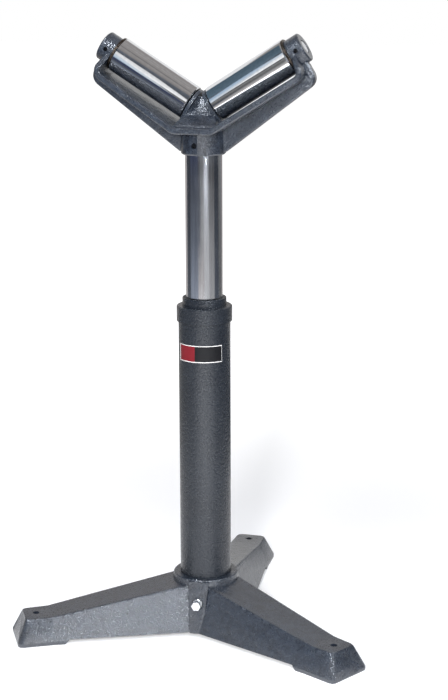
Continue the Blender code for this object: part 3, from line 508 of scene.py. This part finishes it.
def studio_card(name, glow, azimuths, heights, tint=WHITE):
    """Curved card round the column. Its glow is given at its lower and its
    upper edge, its azimuths in degrees."""
    start, end = azimuths
    steps = max(2, int(abs(end - start) / CARD_STEP))
    bm = bmesh.new()
    rows = []
    for step in range(steps + 1):
        angle = math.radians(start + (end - start) * step / steps)
        rows.append([bm.verts.new(round_column(CARD_RADIUS, angle, height)) for height in heights])
    for near, far in zip(rows, rows[1:]):
        bm.faces.new((near[0], far[0], far[1], near[1]))
    card = object_from(bm, name)
    card.data.materials.append(card_material(name, glow, heights, tint))
    hide_card(card)


def overhead_card(name, glow, depth, y, height, tint=WHITE):
    """Level card above the stand, all of it equally bright."""
    bpy.ops.mesh.primitive_plane_add(size=1.0, location=(COLUMN.x, y, height))
    card = bpy.context.object
    card.name = name
    card.scale = (CARD_WIDTH, depth, 1.0)
    card.data.materials.append(card_material(name, (glow, glow), (-1.0, 1.0), tint))
    hide_card(card)


def make_cards():
    """Dark flags and soft boxes that the polished steel reflects."""
    studio_card("left_over", (0.18, 0.13), (160, 237), (1.20, 1.90), tint=TEAL)
    studio_card("left_side", (0.10, 0.14), (160, 236), (0.72, 1.20), tint=COOL)
    studio_card("left_edge", (0.12, 0.05), (160, 196), (0.28, 0.72), tint=COOL)
    studio_card("left_low", (0.62, 0.24), (196, 250), (0.28, 0.42), tint=COOL)
    studio_card("left_middle", (0.24, 0.08), (196, 250), (0.42, 0.60), tint=COOL)
    studio_card("left_foot", (0.50, 0.50), (105, 250), (0.0, 0.28))
    studio_card("box_far", (0.62, 0.62), (236, 245), (0.76, 1.24), tint=(0.78, 1.00, 1.26))
    studio_card("box_left", (0.90, 0.75), (245, 252), (0.76, 1.24), tint=(0.88, 0.98, 1.08))
    studio_card("box_right", (1.25, 0.85), (252, 267), (0.86, 1.24))
    studio_card("band_left", (0.10, 0.06), (196, 252), (0.60, 0.76), tint=NAVY)
    studio_card("band_line", (0.03, 0.03), (252, 287), (0.80, 0.86), tint=COOL)
    studio_card("band_right", (0.12, 0.30), (252, 287), (0.60, 0.80))
    studio_card("front_dark", (0.07, 0.10), (267, 288), (0.86, 1.24), tint=COOL)
    studio_card("front_over", (0.10, 0.16), (237, 300), (1.24, 1.58), tint=COOL)
    studio_card("front_high", (0.24, 0.34), (255, 300), (1.58, 1.95), tint=WARM)
    studio_card("front_low", (0.85, 0.40), (250, 287), (0.26, 0.43), tint=WARM)
    studio_card("front_middle", (0.22, 0.07), (250, 266), (0.43, 0.60), tint=COOL)
    studio_card("front_band", (0.46, 0.16), (266, 287), (0.43, 0.60))
    studio_card("strip", (0.90, 0.30), (287, 316), (0.20, 0.62))
    studio_card("strip_over", (0.12, 0.40), (287, 316), (0.62, 1.24), tint=WARM)
    studio_card("right_side", (0.70, 0.06), (316, 352), (0.24, 0.62))
    studio_card("right_over", (0.10, 0.16), (316, 352), (0.62, 1.90), tint=COOL)
    studio_card("right_back", (0.16, 0.05), (352, 388), (0.24, 0.62), tint=COOL)
    studio_card("right_back_over", (0.07, 0.07), (352, 388), (0.62, 1.90), tint=COOL)
    studio_card("right_edge", (0.12, 0.32), (388, 422), (0.28, 0.70))
    studio_card("back_right", (0.45, 0.35), (62, 106), (0.30, 0.80), tint=WARM)
    studio_card("back_left", (0.62, 0.50), (106, 160), (0.30, 0.80), tint=WARM)
    studio_card("right_foot", (0.16, 0.16), (325, 445), (0.0, 0.24), tint=COOL)
    overhead_card("ceiling", glow=0.34, depth=CARD_WIDTH, y=COLUMN.y, height=1.95, tint=WARM)
    overhead_card("far_bar", glow=0.62, depth=0.035, y=0.22, height=1.94)
    overhead_card("middle_bar", glow=0.60, depth=0.03, y=-0.08, height=1.94)
    overhead_card("near_bar", glow=0.16, depth=0.10, y=-0.52, height=1.94)


def add_area(name, place, target, size, power, colour):
    data = bpy.data.lights.new(name, "AREA")
    data.shape = "RECTANGLE"
    data.size, data.size_y = size
    data.energy = power
    data.color = colour
    lamp = bpy.data.objects.new(name, data)
    bpy.context.scene.collection.objects.link(lamp)
    lamp.location = place
    direction = Vector(target) - Vector(place)
    lamp.rotation_euler = direction.to_track_quat("-Z", "Y").to_euler()
    return lamp


def add_gleam(name, azimuth, radius, heights, width, power):
    """Weak lamp outside the cards that puts a sheen on the paint. A reflected
    ray would stop at a card, so this lamp is sampled directly only."""
    place = round_column(radius, math.radians(azimuth), (heights[0] + heights[1]) / 2)
    size = (width, heights[1] - heights[0])
    lamp = add_area(name, place, (COLUMN.x, COLUMN.y, GLEAM_AIM), size, power, GLEAM_TINT)
    lamp.data.cycles.use_multiple_importance_sampling = False


def make_lights():
    key_place = round_column(KEY_RADIUS, KEY_AZIMUTH, KEY_HEIGHT)
    add_area("key", key_place, target=(COLUMN.x, COLUMN.y, 0.75), size=(0.26, 1.7), power=9.5,
             colour=(0.97, 0.985, 1.0))
    fill = add_area("fill", (0.32, -2.40, 1.15), target=(0, 0, 0.3), size=(0.25, 0.25), power=60.0,
                    colour=(0.98, 0.98, 1.0))
    top = add_area("top", (-0.2, 0.1, 2.2), target=(0, 0, 0.4), size=(1.2, 1.2), power=9.5,
                   colour=(1.0, 0.89, 0.82))
    for lamp in (fill, top):
        lamp.visible_glossy = False
    add_gleam("low_gleam", azimuth=297, radius=1.40, heights=(0.62, 1.12), width=0.36, power=6.0)
    add_gleam("high_gleam", azimuth=340, radius=1.50, heights=(1.30, 1.90), width=0.60, power=13.0)
    add_gleam("front_gleam", azimuth=251, radius=1.20, heights=(1.50, 2.35), width=0.50, power=17.0)


def make_camera():
    data = bpy.data.cameras.new("camera")
    data.lens = CAMERA_LENS
    data.sensor_width = SENSOR
    data.sensor_fit = "AUTO"
    camera = bpy.data.objects.new("camera", data)
    bpy.context.scene.collection.objects.link(camera)
    forward = CAMERA_FORWARD.normalized()
    right = forward.cross(CAMERA_UP).normalized()
    up = right.cross(forward)
    turn = Matrix((right, up, -forward)).transposed()
    camera.matrix_world = Matrix.Translation(COLUMN + CAMERA_PLACE) @ turn.to_4x4()
    bpy.context.scene.camera = camera


bpy.context.scene.view_settings.view_transform = "Standard"
make_camera()
dress_nodes()
refine_nodes()
make_label()
make_floor()
make_world()
make_lights()
make_cards()
